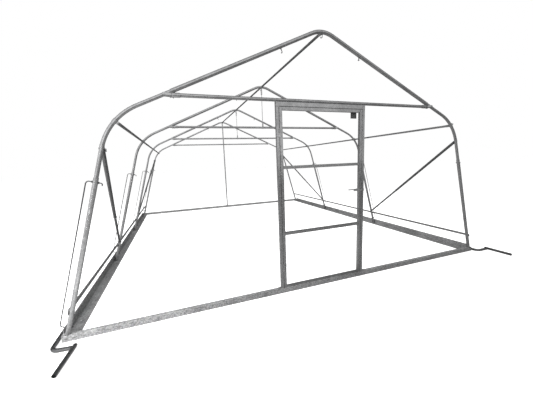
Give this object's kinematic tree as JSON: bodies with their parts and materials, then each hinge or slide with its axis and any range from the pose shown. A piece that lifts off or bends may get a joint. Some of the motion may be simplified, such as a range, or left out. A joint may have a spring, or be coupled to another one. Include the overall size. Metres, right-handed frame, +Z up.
{
  "type": "polytunnel greenhouse frame",
  "caption": "Bent-tube hoop frame of a walk-in polytunnel greenhouse with ground sills, purlins, braces, a hinged gable door and roll-up side vent tubes with cranks.",
  "frame": {"origin": "middle of the front sill's underside, in the plane of the front hoop, on the ground", "axes": "+X to the right across the tunnel, +Y from the door gable to the rear gable, +Z up"},
  "size_m": [5.569, 6.5097, 2.8127],
  "materials": {
    "galvanised_tube": "hot-dip galvanised, satin",
    "spangled_zinc": "galvanised with a visible spangle",
    "bright_zinc": "bright zinc plate, satin",
    "dull_zinc": "weathered zinc, matt"
  },
  "bodies": {
    "frame": {"leg_left_1": "galvanised_tube", "leg_left_2": "galvanised_tube", "leg_left_3": "galvanised_tube", "leg_left_4": "galvanised_tube", "leg_right_1": "galvanised_tube", "leg_right_2": "galvanised_tube", "leg_right_3": "galvanised_tube", "leg_right_4": "galvanised_tube", "eave_bend_left_1": "galvanised_tube", "eave_bend_left_2": "galvanised_tube", "eave_bend_left_3": "galvanised_tube", "eave_bend_left_4": "galvanised_tube", "eave_bend_right_1": "galvanised_tube", "eave_bend_right_2": "galvanised_tube", "eave_bend_right_3": "galvanised_tube", "eave_bend_right_4": "galvanised_tube", "ridge_bend_1": "galvanised_tube", "ridge_bend_2": "galvanised_tube", "ridge_bend_3": "galvanised_tube", "ridge_bend_4": "galvanised_tube", "tie_bar_1": "galvanised_tube", "tie_bar_2": "galvanised_tube", "tie_bar_3": "galvanised_tube", "tie_bar_4": "galvanised_tube", "hangers": "galvanised_tube", "rear_post": "galvanised_tube", "ridge_purlin": "dull_zinc", "eave_purlin_left": "galvanised_tube", "eave_purlin_right": "galvanised_tube", "side_rail_left": "galvanised_tube", "side_rail_right": "galvanised_tube", "brace_front_left": "dull_zinc", "brace_front_right": "dull_zinc", "brace_rear_left": "dull_zinc", "brace_rear_right": "dull_zinc", "front_sill": "spangled_zinc", "rear_sill": "spangled_zinc", "base_angle_left": "spangled_zinc", "base_angle_right": "spangled_zinc", "door_post_left": "galvanised_tube", "door_post_right": "galvanised_tube", "door_header": "galvanised_tube", "door_stop": "dull_zinc", "post_hinges": "galvanised_tube", "strike_plate": "bright_zinc", "guide_loops_left": "bright_zinc", "guide_loops_right": "bright_zinc", "roll_tube_left": "galvanised_tube", "roll_tube_right": "galvanised_tube"},
    "door_leaf": {"door_hinge_stile": "galvanised_tube", "door_latch_stile": "galvanised_tube", "door_rails": "galvanised_tube", "door_hinges": "galvanised_tube", "lock_plates": "bright_zinc"},
    "lever": {"door_lever": "bright_zinc"}
  },
  "joints": [
    {"name": "door_swing", "type": "hinge", "parent": "frame", "child": "door_leaf", "pos_m": [-0.5215, -0.028, 1.03], "axis": [0, 0, -1], "range_deg": [0, 165]},
    {"name": "lever_turn", "type": "hinge", "parent": "door_leaf", "child": "lever", "pos_m": [0.503, 0, 1.1], "axis": [0, -1, 0], "range_deg": [0, 40], "stiffness_Nm_per_rad": 0.6, "springref_deg": -20.05}
  ]
}
